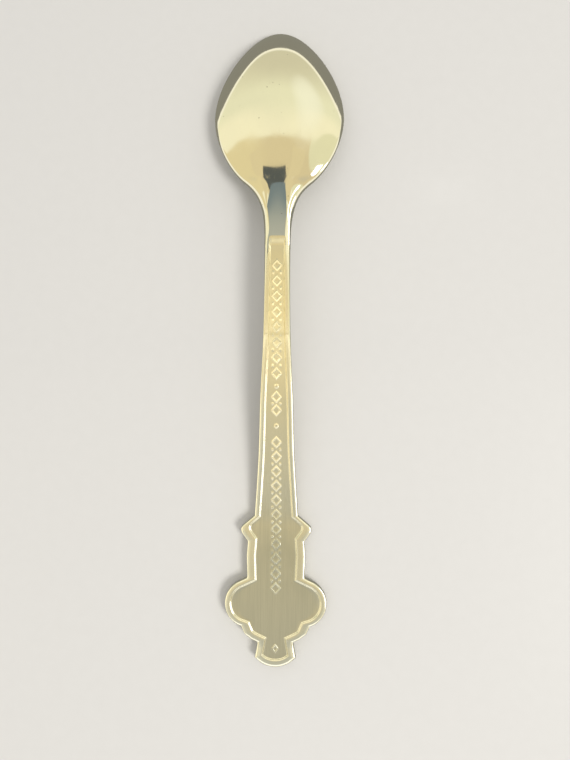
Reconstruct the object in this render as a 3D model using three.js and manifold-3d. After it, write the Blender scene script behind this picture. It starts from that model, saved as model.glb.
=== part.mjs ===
// A souvenir spoon, lying on its face: the hollow of the bowl and the crest look down.
// Millimetres. X across the spoon, Y along it with the bowl at +Y, Z up.
// The origin is at the middle of its length, on the surface that it lies on.

import * as THREE from 'three';
import { mergeVertices } from 'three/addons/utils/BufferGeometryUtils.js';
import { LoftGeometry } from 'three/addons/geometries/LoftGeometry.js';
import Module from 'manifold-3d';

const wasm = await Module();
wasm.setup();

// ---------------------------------------------------------------- driving dimensions

const LENGTH = 112;
const TIP_Y = LENGTH / 2;
const END_Y = -LENGTH / 2;

// The bowl: a thin pressed shell with a plain lip.
const BOWL_HALF = 11.5;
const BOWL_WIDEST_Y = 38.6;
const BOWL_TOP = 8.9;
const LIP = 0.8;
const SHELL = 1.05;
const ARCH_BLUNTNESS = 1.1;
const DOME_RADIUS = 1.4;
const DOME_LOW_Y = 30;
const DOME_HIGH_Y = 40;
const FLAT_LOW_Y = 19;
const FLAT_HIGH_Y = 26;
const TIP_FLAT = 1.2;
const HOLLOW_FLAT = 0.6;
const HEEL = new THREE.Vector2(5.86, 25.8);
const RIM_HEEL = new THREE.Vector2(24, 4.7);
const HOLLOW_HEEL_Y = 24.5;

// The neck and the stem.
const NECK_HALF = 2.2;
const NECK_Y = 14;
const NECK_BACK = 7.3;
const NECK_FRONT = 5.35;
const NECK_SIDE = 1.5;
const SIDE_RAMP = 8;

// The finial at the end of the stem: level, with a raised border on both faces.
const FINIAL_START = -33;
const FINIAL_BACK = 2.3;
const FINIAL_FRONT = 0.6;
const BACK_RECESS = 0.35;
const FRONT_RECESS = 0.3;
const STEM_BORDER = 1.1;
const WAIST_BORDER = 1.6;
const SHOULDER_BORDER = 0.9;
const LOBE_BORDER = 1.15;
const NOTCH_BORDER = 1.6;
const FINIAL_BORDER = 1.35;
const LOBE_CENTRE = new THREE.Vector2(4.6, -45.75);
const LOBE_RADIUS = 3.9;
const FOOT_RADIUS = 4.71;
const PANEL_TOP_Y = 15.6;

// The lap joint between the neck of the bowl and the handle's tongue.
const JOINT_Y = 17;
const TONGUE_END_Y = 21.5;
const LAP_Z = 6.25;
const SOLDER = 0.1;
const SOLDER_INSET = 0.3;

// The crest: a round badge on the front of the finial, with three fields of enamel.
const CREST_Y = -46;
const CREST_RADIUS = 4.7;
const CREST_RIM = 0.55;
const CREST_SIDES = 48;
const CREST_TOP = FINIAL_FRONT + FRONT_RECESS - SOLDER;
const ENAMEL_FACE = 0.03;
const ENAMEL_BACK = 0.38;
const CELL_WALL = 0.45;

// The ornament in the back panel: a chain of lozenges in three runs, with a boss between them.
const LOZENGE_HALF_WIDTH = 0.9;
const LOZENGE_HALF_LENGTH = 0.98;
const ORNAMENT_HEIGHT = 0.22;
const ORNAMENT_ROOT = 0.4;
const ORNAMENT_RUNS = [
  { from: 10.7, to: -7.6, count: 8 },
  { from: -11.5, to: -13.7, count: 2 },
  { from: -19, to: -43.3, count: 11 },
];
const BOSSES = [-9.7, -16.3];
const BOSS_RADIUS = 0.42;
const BOSS_SIDES = 24;

const FAR = 20;
const ARC_STEPS = 16;
const CURVE_STEPS = 8;

// ---------------------------------------------------------------- solids

function solidFrom(geometry) {
  const bare = new THREE.BufferGeometry().copy(geometry);
  bare.deleteAttribute('normal');
  bare.deleteAttribute('uv');
  const merged = mergeVertices(bare);
  return new wasm.Manifold(new wasm.Mesh({
    numProp: 3,
    vertProperties: Float32Array.from(merged.attributes.position.array),
    triVerts: Uint32Array.from(merged.index.array),
  }));
}

function geometryFrom(solid) {
  const mesh = solid.getMesh();
  const geometry = new THREE.BufferGeometry();
  geometry.setAttribute('position', new THREE.BufferAttribute(mesh.vertProperties, 3));
  geometry.setIndex(new THREE.BufferAttribute(mesh.triVerts, 1));
  geometry.computeVertexNormals();
  return geometry;
}

// An upright prism on an outline in the XY plane.
function prism(points, bottom, top) {
  const geometry = new THREE.ExtrudeGeometry(new THREE.Shape(points), {
    depth: top - bottom,
    bevelEnabled: false,
  });
  return solidFrom(geometry.translate(0, 0, bottom));
}

// A slab right across the spoon whose side view is an outline in the YZ plane.
function slab(points) {
  const geometry = new THREE.ExtrudeGeometry(new THREE.Shape(points), {
    depth: 2 * FAR,
    bevelEnabled: false,
  });
  geometry.translate(0, 0, -FAR);
  const acrossX = new THREE.Matrix4().makeBasis(
    new THREE.Vector3(0, 1, 0),
    new THREE.Vector3(0, 0, 1),
    new THREE.Vector3(1, 0, 0),
  );
  return solidFrom(geometry.applyMatrix4(acrossX));
}

function block(lowX, highX, lowY, highY, lowZ, highZ) {
  const geometry = new THREE.BoxGeometry(highX - lowX, highY - lowY, highZ - lowZ);
  geometry.translate((lowX + highX) / 2, (lowY + highY) / 2, (lowZ + highZ) / 2);
  return solidFrom(geometry);
}

// An upright disc on the centre line.
function disc(radius, y, bottom, top, sides) {
  const geometry = new THREE.CylinderGeometry(radius, radius, top - bottom, sides);
  geometry.rotateX(Math.PI / 2);
  geometry.translate(0, y, (bottom + top) / 2);
  return solidFrom(geometry);
}

// ---------------------------------------------------------------- side view, in (y, z)

const RIM_SLOPE = RIM_HEEL.y / (TIP_Y - RIM_HEEL.x);

// The back of the spoon, from the end of the handle to the lip at the tip.
const backLine = new THREE.Path();
backLine.moveTo(END_Y - 1, FINIAL_BACK);
backLine.lineTo(FINIAL_START, FINIAL_BACK);
backLine.bezierCurveTo(-25, FINIAL_BACK, -12, NECK_BACK, NECK_Y, NECK_BACK);
backLine.bezierCurveTo(22, NECK_BACK, 30, BOWL_TOP, BOWL_WIDEST_Y + 1, BOWL_TOP);
backLine.bezierCurveTo(46.2, BOWL_TOP, 51.8, 5.7, TIP_Y, LIP + 0.1);

// The front of the handle and the edge of the lip, which rests on its tip.
const frontLine = new THREE.Path();
frontLine.moveTo(END_Y - 1, FINIAL_FRONT);
frontLine.lineTo(FINIAL_START, FINIAL_FRONT);
frontLine.bezierCurveTo(-24, FINIAL_FRONT, -13, NECK_FRONT, NECK_Y, NECK_FRONT);
frontLine.bezierCurveTo(18, NECK_FRONT, 21, NECK_FRONT - 0.2, RIM_HEEL.x, RIM_HEEL.y);
frontLine.lineTo(TIP_Y, 0);

// The deepest line of the hollow.
const hollowLine = new THREE.Path();
hollowLine.moveTo(HOLLOW_HEEL_Y, RIM_SLOPE * (TIP_Y - HOLLOW_HEEL_Y) + 0.05);
hollowLine.bezierCurveTo(25.5, 6.6, 31, BOWL_TOP - SHELL, BOWL_WIDEST_Y + 1, BOWL_TOP - SHELL);
hollowLine.bezierCurveTo(45.2, BOWL_TOP - SHELL, 51.2, 4.5, TIP_Y - SHELL, 0.25);

function heightOn(line, y) {
  const points = line.getPoints(CURVE_STEPS * 3);
  const next = Math.max(1, points.findIndex((point) => point.x >= y));
  const a = points[next - 1];
  const b = points[next];
  return a.y + (b.y - a.y) * (y - a.x) / (b.x - a.x);
}

// ---------------------------------------------------------------- plan view, in (x, y)

// Half of the bowl's outline, from the neck round to the tip.
function bowlOutline() {
  const line = new THREE.Path();
  line.moveTo(NECK_HALF, NECK_Y);
  line.bezierCurveTo(2.1, 22, 3.9, 24.1, HEEL.x, HEEL.y);
  line.bezierCurveTo(8.9, 28.5, BOWL_HALF, 34.1, BOWL_HALF, BOWL_WIDEST_Y);
  line.bezierCurveTo(BOWL_HALF, 46.4, 5.1, TIP_Y, 0, TIP_Y);
  const points = line.getPoints(CURVE_STEPS);
  points[points.length - 1].x = TIP_FLAT / 2;
  return points;
}

// Half of the hollow's outline at the lip.
function hollowOutline() {
  const side = BOWL_HALF - SHELL;
  const tip = TIP_Y - SHELL;
  const line = new THREE.Path();
  line.moveTo(HOLLOW_FLAT / 2, HOLLOW_HEEL_Y);
  line.bezierCurveTo(5.2, 24.8, side, 31.5, side, BOWL_WIDEST_Y);
  line.bezierCurveTo(side, 45.8, 4.8, tip, HOLLOW_FLAT / 2, tip);
  return line.getPoints(CURVE_STEPS);
}

// One side of the handle's outline, from the neck to the middle of the end. A corner has its
// rounding radius, and the width of the border along the edge that starts at it.
function handleSide() {
  const stem = new THREE.SplineCurve([
    new THREE.Vector2(NECK_HALF, JOINT_Y + 1),
    new THREE.Vector2(2.17, 8),
    new THREE.Vector2(2.33, -2),
    new THREE.Vector2(2.76, -11.5),
    new THREE.Vector2(3.04, -21),
    new THREE.Vector2(3.68, -31.3),
  ]);
  const arc = (x, y, radius, from, to) => new THREE.EllipseCurve(x, y, radius, radius, from, to, true);
  const lobe = arc(LOBE_CENTRE.x, LOBE_CENTRE.y, LOBE_RADIUS, 1.1, -1.28);
  const foot = arc(0, END_Y + FOOT_RADIUS, FOOT_RADIUS, -0.76, -Math.PI / 2);
  const smooth = (curve, steps, border) => curve.getPoints(steps)
    .map((point) => ({ x: point.x, y: point.y, radius: 0, border }));
  const stemCorners = smooth(stem, 14, STEM_BORDER);
  stemCorners[stemCorners.length - 1].radius = 0.8;
  stemCorners[stemCorners.length - 1].border = SHOULDER_BORDER;
  const lobeCorners = smooth(lobe, 12, LOBE_BORDER);
  lobeCorners[lobeCorners.length - 1].radius = 0.2;
  lobeCorners[lobeCorners.length - 1].border = NOTCH_BORDER;
  return [
    ...stemCorners,
    { x: 6.35, y: -33.5, radius: 1.2, border: WAIST_BORDER },
    { x: 4.78, y: -35.6, radius: 0.3, border: WAIST_BORDER },
    { x: 4.95, y: -38, radius: 3, border: WAIST_BORDER },
    { x: 4.8, y: -41.55, radius: 0.4, border: LOBE_BORDER },
    ...lobeCorners,
    { x: 5.15, y: -50.75, radius: 0.8, border: FINIAL_BORDER },
    { x: 3.95, y: -51.6, radius: 0.8, border: FINIAL_BORDER },
    { x: 2.95, y: -52.05, radius: 0.3, border: FINIAL_BORDER },
    ...smooth(foot, 3, FINIAL_BORDER),
  ];
}

// The point where two edges meet after each has moved inwards by its own distance.
function movedCorner(before, corner, after, insetBefore, insetAfter) {
  const first = new THREE.Vector2(corner.x - before.x, corner.y - before.y).normalize();
  const second = new THREE.Vector2(after.x - corner.x, after.y - corner.y).normalize();
  const firstIn = new THREE.Vector2(first.y, -first.x).multiplyScalar(insetBefore);
  const secondIn = new THREE.Vector2(second.y, -second.x).multiplyScalar(insetAfter);
  const turn = first.x * second.y - first.y * second.x;
  if (Math.abs(turn) < 0.02) {
    return new THREE.Vector2(corner.x + secondIn.x, corner.y + secondIn.y);
  }
  const gap = secondIn.clone().sub(firstIn);
  const along = (gap.x * second.y - gap.y * second.x) / turn;
  return new THREE.Vector2(
    corner.x + firstIn.x + first.x * along,
    corner.y + firstIn.y + first.y * along,
  );
}

// The corner's rounding, as points of a quadratic curve between its two tangent points.
function roundedCorner(before, corner, after, radius) {
  if (radius < 0.05) {
    return [corner];
  }
  const back = before.clone().sub(corner);
  const ahead = after.clone().sub(corner);
  const halfAngle = back.angleTo(ahead) / 2;
  const room = 0.45 * Math.min(back.length(), ahead.length());
  const tangent = Math.min(radius / Math.tan(halfAngle), room);
  const start = corner.clone().add(back.setLength(tangent));
  const end = corner.clone().add(ahead.setLength(tangent));
  return new THREE.QuadraticBezierCurve(start, corner, end).getPoints(3);
}

// The handle's whole outline, moved inwards by a share of the border's width: 0 is the edge of
// the metal and 1 is the edge of the panel.
function handleOutline(share) {
  const side = handleSide();
  const half = side.map((corner, index) => {
    const before = side[index - 1] ?? { x: corner.x, y: corner.y + 1 };
    const after = side[index + 1] ?? { x: -side[index - 1].x, y: side[index - 1].y };
    const borderBefore = (side[index - 1] ?? corner).border;
    return movedCorner(before, corner, after, borderBefore * share, corner.border * share);
  });
  half[half.length - 1].x = 0;
  const points = half.flatMap((corner, index) => {
    const before = half[index - 1];
    const after = half[index + 1];
    if (!before || !after) {
      return [corner];
    }
    const turn = (corner.x - before.x) * (after.y - corner.y)
      - (corner.y - before.y) * (after.x - corner.x);
    const inset = side[index].border * share;
    const radius = turn < 0 ? side[index].radius - inset : side[index].radius + inset * 0.5;
    return roundedCorner(before, corner, after, side[index].radius > 0 ? radius : 0);
  });
  const mirrored = points.slice(0, -1).reverse().map((point) => new THREE.Vector2(-point.x, point.y));
  return [...points, ...mirrored];
}

// ---------------------------------------------------------------- the blank

// The height of the bowl's arch, from 1 in the middle to 0 at the sides. It is a dome near the
// tip, has steeper shoulders and straighter flanks near the heel, and is flat along the neck.
function archHeight(share, y) {
  const side = Math.hypot(1, ARCH_BLUNTNESS);
  const gable = (side - Math.hypot(share, ARCH_BLUNTNESS)) / (side - ARCH_BLUNTNESS);
  const low = Math.sqrt(DOME_RADIUS ** 2 - 1);
  const dome = (Math.sqrt(DOME_RADIUS ** 2 - share ** 2) - low) / (DOME_RADIUS - low);
  const flat = 1 - share ** 4;
  const bowlward = THREE.MathUtils.smoothstep(y, DOME_LOW_Y, DOME_HIGH_Y);
  const neckward = 1 - THREE.MathUtils.smoothstep(y, FLAT_LOW_Y, FLAT_HIGH_Y);
  return gable + (dome - gable) * bowlward + (flat - gable) * neckward;
}

// A section across the bowl: a flat bottom, upright sides, and an arch over the top.
function bowlSection(y, half, bottom, side, crown) {
  const section = [new THREE.Vector3(-half, y, bottom)];
  for (let step = 0; step <= ARC_STEPS; step += 1) {
    const share = Math.sin(Math.PI * (step / ARC_STEPS - 0.5));
    section.push(new THREE.Vector3(half * share, y, side + crown * archHeight(share, y)));
  }
  section.push(new THREE.Vector3(half, y, bottom));
  return section;
}

function bowlBlank() {
  const sections = bowlOutline().map((point) => {
    const bottom = heightOn(frontLine, point.y);
    const top = heightOn(backLine, point.y);
    const neckness = 1 - THREE.MathUtils.smoothstep(
      point.y,
      HEEL.y - SIDE_RAMP,
      HEEL.y + SIDE_RAMP,
    );
    const side = bottom + THREE.MathUtils.lerp(LIP, NECK_SIDE, neckness);
    return bowlSection(point.y, point.x, bottom, side, Math.max(top - side, 0.1));
  });
  return solidFrom(new LoftGeometry(sections, { capStart: true, capEnd: true }));
}

function hollow() {
  const sections = hollowOutline().map((point) => {
    const rim = heightOn(frontLine, point.y);
    const crown = Math.max(heightOn(hollowLine, point.y) - rim, 0.05);
    return bowlSection(point.y, point.x, rim - 1, rim, crown);
  });
  return solidFrom(new LoftGeometry(sections, { capStart: true, capEnd: true }));
}

// The side view of the handle between two lines, each raised or lowered by a distance.
function between(lowLine, lowShift, highLine, highShift) {
  const onHandle = (point) => point.x < JOINT_Y + 2;
  const low = lowLine.getPoints(CURVE_STEPS * 2).filter(onHandle);
  const high = highLine.getPoints(CURVE_STEPS * 2).filter(onHandle);
  return slab([
    ...low.map((point) => new THREE.Vector2(point.x, point.y + lowShift)),
    ...high.reverse().map((point) => new THREE.Vector2(point.x, point.y + highShift)),
  ]);
}

function panelPlan() {
  return prism(handleOutline(1), -FAR, FAR)
    .intersect(block(-FAR, FAR, END_Y, PANEL_TOP_Y, -FAR, FAR));
}

function handleBlank() {
  const backRecess = panelPlan().intersect(between(backLine, -BACK_RECESS, backLine, FAR));
  const frontRecess = panelPlan().intersect(between(frontLine, -FAR, frontLine, FRONT_RECESS));
  return prism(handleOutline(0), -FAR, FAR)
    .intersect(between(frontLine, 0, backLine, 0))
    .subtract(backRecess)
    .subtract(frontRecess);
}

// ---------------------------------------------------------------- the ornament

function lozenge(y) {
  const floor = heightOn(backLine, y) - BACK_RECESS;
  return prism([
    new THREE.Vector2(LOZENGE_HALF_WIDTH, y),
    new THREE.Vector2(0, y + LOZENGE_HALF_LENGTH),
    new THREE.Vector2(-LOZENGE_HALF_WIDTH, y),
    new THREE.Vector2(0, y - LOZENGE_HALF_LENGTH),
  ], floor - ORNAMENT_ROOT, floor + ORNAMENT_HEIGHT);
}

function ornament() {
  const pieces = ORNAMENT_RUNS.flatMap(({ from, to, count }) => (
    Array.from({ length: count }, (_, index) => lozenge(from + (to - from) * index / (count - 1)))
  ));
  const bosses = BOSSES.map((y) => {
    const floor = heightOn(backLine, y) - BACK_RECESS;
    return disc(BOSS_RADIUS, y, floor - ORNAMENT_ROOT, floor + ORNAMENT_HEIGHT, BOSS_SIDES);
  });
  return [...pieces, ...bosses];
}

// ---------------------------------------------------------------- bowl, handle and solder

const handleZone = block(-FAR, FAR, END_Y - 2, JOINT_Y, -FAR, FAR)
  .add(block(-FAR, FAR, JOINT_Y - 1, TONGUE_END_Y, -FAR, LAP_Z));
const lapZone = block(-FAR, FAR, JOINT_Y, TONGUE_END_Y, LAP_Z - 1, LAP_Z + SOLDER);
const blank = bowlBlank().add(handleBlank());

function bowl() {
  return blank.subtract(handleZone).subtract(lapZone).subtract(hollow());
}

function handle() {
  return ornament().reduce((body, piece) => body.add(piece), blank.intersect(handleZone));
}

function neckSolder() {
  const half = NECK_HALF - SOLDER_INSET;
  const low = JOINT_Y + SOLDER_INSET;
  const high = TONGUE_END_Y - SOLDER_INSET;
  return block(-half, half, low, high, LAP_Z, LAP_Z + SOLDER);
}

// ---------------------------------------------------------------- the crest

// A field of enamel, from an outline that is drawn with the end of the handle at its top.
function enamelField(outline) {
  const points = outline.map(([across, up]) => new THREE.Vector2(across, CREST_Y - up)).reverse();
  return prism(points, ENAMEL_FACE, ENAMEL_BACK)
    .intersect(disc(CREST_RADIUS - CREST_RIM, CREST_Y, ENAMEL_FACE, ENAMEL_BACK, CREST_SIDES));
}

const RIDGE = [[-5, -1.4], [-2.5, 0.8], [-1.6, 0], [0, 2.3], [1.6, 0], [2.5, 0.8], [5, -1.4]];
const VALLEY = -1.7;
const sky = enamelField([
  ...RIDGE.map(([across, up]) => [across, up + CELL_WALL]),
  [5, 5],
  [-5, 5],
]);
const peaks = enamelField([...RIDGE, [5, VALLEY], [-5, VALLEY]]);
const meadow = enamelField([
  [-5, VALLEY - CELL_WALL],
  [5, VALLEY - CELL_WALL],
  [5, -5],
  [-5, -5],
].reverse());

// The plate has a pocket for each field, open at its face.
function crestPlate() {
  const pockets = [sky, peaks, meadow].map((field) => field.add(field.translate(0, 0, -0.2)));
  const plate = disc(CREST_RADIUS, CREST_Y, 0, CREST_TOP, CREST_SIDES);
  return pockets.reduce((rest, pocket) => rest.subtract(pocket), plate);
}

function crestSolder() {
  return disc(CREST_RADIUS - SOLDER_INSET, CREST_Y, CREST_TOP, CREST_TOP + SOLDER, CREST_SIDES);
}

// ---------------------------------------------------------------- the scene

const polished = { color: 0xd9d2b8, roughness: 0.08, metalness: 1 };
const satin = { color: 0xc9c0a0, roughness: 0.32, metalness: 1 };
const grey = { color: 0xa8a69e, roughness: 0.45, metalness: 1 };
const gilt = { color: 0xd6c48a, roughness: 0.2, metalness: 1 };

const group = new THREE.Group();

function addPart(name, solid, material) {
  const mesh = new THREE.Mesh(geometryFrom(solid), new THREE.MeshStandardMaterial(material));
  mesh.name = name;
  group.add(mesh);
}

addPart('bowl', bowl(), polished);
addPart('handle', handle(), satin);
addPart('neck_solder', neckSolder(), grey);
addPart('crest_plate', crestPlate(), gilt);
addPart('crest_solder', crestSolder(), grey);
addPart('enamel_sky', sky, { color: 0x2f6fb5, roughness: 0.12, metalness: 0 });
addPart('enamel_peaks', peaks, { color: 0xf1f1ec, roughness: 0.12, metalness: 0 });
addPart('enamel_meadow', meadow, { color: 0x2f8a4a, roughness: 0.12, metalness: 0 });

export default group;
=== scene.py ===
"""Souvenir spoon, lying on its face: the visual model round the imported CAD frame."""

import math

import bmesh
import bpy
import numpy as np
from mathutils import Matrix, Vector


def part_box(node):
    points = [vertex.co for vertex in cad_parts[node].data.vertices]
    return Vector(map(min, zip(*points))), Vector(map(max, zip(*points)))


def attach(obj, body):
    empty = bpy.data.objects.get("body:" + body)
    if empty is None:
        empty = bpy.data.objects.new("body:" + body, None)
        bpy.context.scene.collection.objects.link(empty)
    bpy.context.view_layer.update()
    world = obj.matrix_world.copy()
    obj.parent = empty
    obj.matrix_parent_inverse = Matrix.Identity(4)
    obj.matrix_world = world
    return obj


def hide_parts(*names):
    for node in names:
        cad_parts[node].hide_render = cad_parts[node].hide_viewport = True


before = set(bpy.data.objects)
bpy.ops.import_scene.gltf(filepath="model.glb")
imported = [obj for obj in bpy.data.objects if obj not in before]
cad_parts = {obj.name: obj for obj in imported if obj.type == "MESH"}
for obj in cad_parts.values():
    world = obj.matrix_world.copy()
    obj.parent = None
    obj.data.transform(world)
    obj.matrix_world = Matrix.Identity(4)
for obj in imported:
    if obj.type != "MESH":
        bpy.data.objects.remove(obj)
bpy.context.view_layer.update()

MM = 0.001

# ---------------------------------------------------------------- the CAD's driving sizes, in mm

BOWL_LOW, BOWL_HIGH = (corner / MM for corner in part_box("bowl"))
HANDLE_LOW, HANDLE_HIGH = (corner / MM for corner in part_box("handle"))
CREST_LOW, CREST_HIGH = (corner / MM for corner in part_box("crest_plate"))
SOLDER_LOW, SOLDER_HIGH = (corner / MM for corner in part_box("neck_solder"))

TIP_Y = BOWL_HIGH.y
END_Y = HANDLE_LOW.y
BOWL_HALF = BOWL_HIGH.x
BOWL_TOP = 8.9
BOWL_WIDEST_Y = 38.6
LIP = 0.8
TIP_EXTRA = 0.1
SHELL = 1.05
HEEL = (5.86, 25.8)
RIM_HEEL = (24.0, 4.7)
HOLLOW_HEEL_Y = 24.5
NECK_HALF = 2.2
NECK_Y = 14.0
NECK_BACK = 7.3
NECK_FRONT = 5.35
NECK_SIDE = 1.5
FINIAL_START = -33.0
FINIAL_BACK = 2.3
FINIAL_FRONT = 0.6
BACK_RECESS = 0.35
FRONT_RECESS = 0.3
STEM_BORDER = 1.1
WAIST_BORDER = 1.6
SHOULDER_BORDER = 0.9
LOBE_BORDER = 1.15
NOTCH_BORDER = 1.6
FINIAL_BORDER = 1.35
FOOT_RADIUS = 4.71
PANEL_TOP_Y = 15.6
JOINT_Y = BOWL_LOW.y
TONGUE_END_Y = HANDLE_HIGH.y
LAP_Z = SOLDER_LOW.z
SOLDER = SOLDER_HIGH.z - SOLDER_LOW.z
CREST_Y = (CREST_LOW.y + CREST_HIGH.y) / 2
CREST_RADIUS = CREST_HIGH.x
CREST_RIM = 0.55

BOWL_CROWN_Y = BOWL_WIDEST_Y + 1
HOLLOW_TOP = BOWL_TOP - SHELL
HOLLOW_TIP_Y = TIP_Y - SHELL
HOLLOW_HALF = BOWL_HALF - SHELL


# ---------------------------------------------------------------- curves

def bezier(a, b, c, d, steps):
    """Points of a cubic Bezier curve, both ends included."""
    a, b, c, d = (np.array(p, float) for p in (a, b, c, d))
    t = np.linspace(0, 1, steps + 1)[:, None]
    return a * (1 - t) ** 3 + 3 * b * t * (1 - t) ** 2 + 3 * c * t ** 2 * (1 - t) + d * t ** 3


def chain(*pieces):
    """Joins curves end to end without the repeated points."""
    return np.vstack([pieces[0]] + [piece[1:] for piece in pieces[1:]])


def catmull(points, steps):
    """A uniform Catmull-Rom curve through points."""
    points = np.array(points, float)
    last = len(points) - 1
    result = []
    for t in np.linspace(0, last, steps + 1):
        i = min(int(t), last)
        w = t - i
        p0, p1 = points[max(i - 1, 0)], points[i]
        p2, p3 = points[min(i + 1, last)], points[min(i + 2, last)]
        v0, v1 = (p2 - p0) / 2, (p3 - p1) / 2
        result.append(p1 + v0 * w + (3 * (p2 - p1) - 2 * v0 - v1) * w ** 2
                      + (2 * (p1 - p2) + v0 + v1) * w ** 3)
    return np.array(result)


def arc(x, y, radius, start, end, steps):
    """Points of an arc between two angles, both included."""
    angles = np.linspace(start, end, steps + 1)
    return np.column_stack([x + radius * np.cos(angles), y + radius * np.sin(angles)])


def smooth(value, low, high):
    """0 below low, 1 above high, with a smooth rise between them."""
    t = np.clip((value - low) / (high - low), 0, 1)
    return t * t * (3 - 2 * t)


def fall(value, low, high):
    """1 below low, 0 above high, with a smooth fall between them."""
    return smooth(-value, -high, -low)


# The side view: the back, the face that looks down and the hollow's roof, as (y, z). Then the
# plans of the hollow, the bowl and the stem, as (x, y).
FINE = 160
BOWL_STEPS = 110
HEEL_STEPS = 74
STEM_STEPS = 340
back_line = chain(
    np.array([(END_Y - 1, FINIAL_BACK), (FINIAL_START, FINIAL_BACK)]),
    bezier((FINIAL_START, FINIAL_BACK), (-25, FINIAL_BACK), (-12, NECK_BACK),
           (NECK_Y, NECK_BACK), FINE),
    bezier((NECK_Y, NECK_BACK), (22, NECK_BACK), (30, BOWL_TOP), (BOWL_CROWN_Y, BOWL_TOP), FINE),
    bezier((BOWL_CROWN_Y, BOWL_TOP), (46.2, BOWL_TOP), (51.8, 5.7), (TIP_Y, LIP + TIP_EXTRA), FINE),
)
front_line = chain(
    np.array([(END_Y - 1, FINIAL_FRONT), (FINIAL_START, FINIAL_FRONT)]),
    bezier((FINIAL_START, FINIAL_FRONT), (-24, FINIAL_FRONT), (-13, NECK_FRONT),
           (NECK_Y, NECK_FRONT), FINE),
    bezier((NECK_Y, NECK_FRONT), (18, NECK_FRONT), (21, NECK_FRONT - 0.2), RIM_HEEL, FINE),
    np.array([RIM_HEEL, (TIP_Y, 0)]),
)
hollow_line = chain(
    bezier((HOLLOW_HEEL_Y, 4.68), (25.5, 6.6), (31, HOLLOW_TOP), (BOWL_CROWN_Y, HOLLOW_TOP), FINE),
    bezier((BOWL_CROWN_Y, HOLLOW_TOP), (45.2, HOLLOW_TOP), (51.2, 4.5), (HOLLOW_TIP_Y, 0.25), FINE),
)
hollow_plan = chain(
    bezier((0, HOLLOW_HEEL_Y), (5.2, 24.8), (HOLLOW_HALF, 31.5), (HOLLOW_HALF, BOWL_WIDEST_Y), FINE),
    bezier((HOLLOW_HALF, BOWL_WIDEST_Y), (HOLLOW_HALF, 45.8), (4.8, HOLLOW_TIP_Y), (0, HOLLOW_TIP_Y), FINE),
)
bowl_plan = chain(
    bezier((0, TIP_Y), (5.1, TIP_Y), (BOWL_HALF, 46.4), (BOWL_HALF, BOWL_WIDEST_Y), BOWL_STEPS),
    bezier((BOWL_HALF, BOWL_WIDEST_Y), (BOWL_HALF, 34.1), (8.9, 28.5), HEEL, HEEL_STEPS),
    bezier(HEEL, (3.9, 24.1), (2.1, 22), (NECK_HALF, NECK_Y), HEEL_STEPS),
)
stem_plan = catmull([
    (NECK_HALF, JOINT_Y + 1), (2.17, 8), (2.33, -2), (2.76, -11.5), (3.04, -21), (3.68, -31.3),
], STEM_STEPS)


def along(line, y):
    """The height of a side-view line at y."""
    return np.interp(y, line[:, 0], line[:, 1])


# ---------------------------------------------------------------- the plan outline

LOBE_CENTRE = (4.6, -45.75)
LOBE_RADIUS = 3.9
LOBE_ARC = (1.1, -1.28)
LOBE_STEPS = 62
FOOT_CENTRE = (0, END_Y + FOOT_RADIUS)
FOOT_SIDE_ANGLE = -0.76
FOOT_ARC = (-1.03, -math.pi / 2)
FOOT_STEPS = 12
STEM_GAP = 0.05


class Corner:
    """A corner of half the outline: its rounding, and the border along the edge that follows."""

    def __init__(self, point, radius, border):
        self.point = np.array(point, float)
        self.radius = radius
        self.border = border


def half_outline():
    """The right-hand half of the spoon's outline, from the tip of the bowl to the foot."""
    def plain(points, border):
        return [Corner(point, 0, border) for point in points]

    stem = plain([point for point in stem_plan if point[1] < NECK_Y - STEM_GAP], STEM_BORDER)
    stem[-1].radius = 0.8
    stem[-1].border = SHOULDER_BORDER
    lobe = plain(arc(*LOBE_CENTRE, LOBE_RADIUS, *LOBE_ARC, LOBE_STEPS), LOBE_BORDER)
    lobe[-1].radius = 0.2
    lobe[-1].border = NOTCH_BORDER
    return [
        *plain(bowl_plan, STEM_BORDER),
        *stem,
        Corner((6.35, -33.5), 1.2, WAIST_BORDER),
        Corner((4.78, -35.6), 0.3, WAIST_BORDER),
        Corner((4.95, -38), 3, WAIST_BORDER),
        Corner((4.8, -41.55), 0.4, LOBE_BORDER),
        *lobe,
        Corner((5.15, -50.75), 0.8, FINIAL_BORDER),
        Corner((3.95, -51.6), 0.8, FINIAL_BORDER),
        Corner((2.95, -52.05), 0.3, FINIAL_BORDER),
        *plain(arc(*FOOT_CENTRE, FOOT_RADIUS, FOOT_SIDE_ANGLE, FOOT_SIDE_ANGLE, 0), FINIAL_BORDER),
        *plain(arc(*FOOT_CENTRE, FOOT_RADIUS, *FOOT_ARC, FOOT_STEPS), FINIAL_BORDER),
    ]


CORNERS = half_outline()
CORNER_STEPS = 8
EDGE_STEP = 0.22
FOOT_EDGE_STEP = 0.1
FOOT_TOP_Y = -52.0
STRAIGHT_TURN = 0.004
LEAST_ROUNDING = 0.06
TANGENT_SHARE = 0.45


def edge_cuts():
    """How many parts each edge of the outline is cut into, the same on every ring."""
    cuts = []
    for before, after in zip(CORNERS, CORNERS[1:]):
        step = FOOT_EDGE_STEP if after.point[1] < FOOT_TOP_Y else EDGE_STEP
        cuts.append(max(1, math.ceil(np.linalg.norm(after.point - before.point) / step)))
    return cuts


EDGE_CUTS = edge_cuts()


def unit(vector):
    return vector / np.linalg.norm(vector)


def cross(a, b):
    return a[0] * b[1] - a[1] * b[0]


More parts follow.
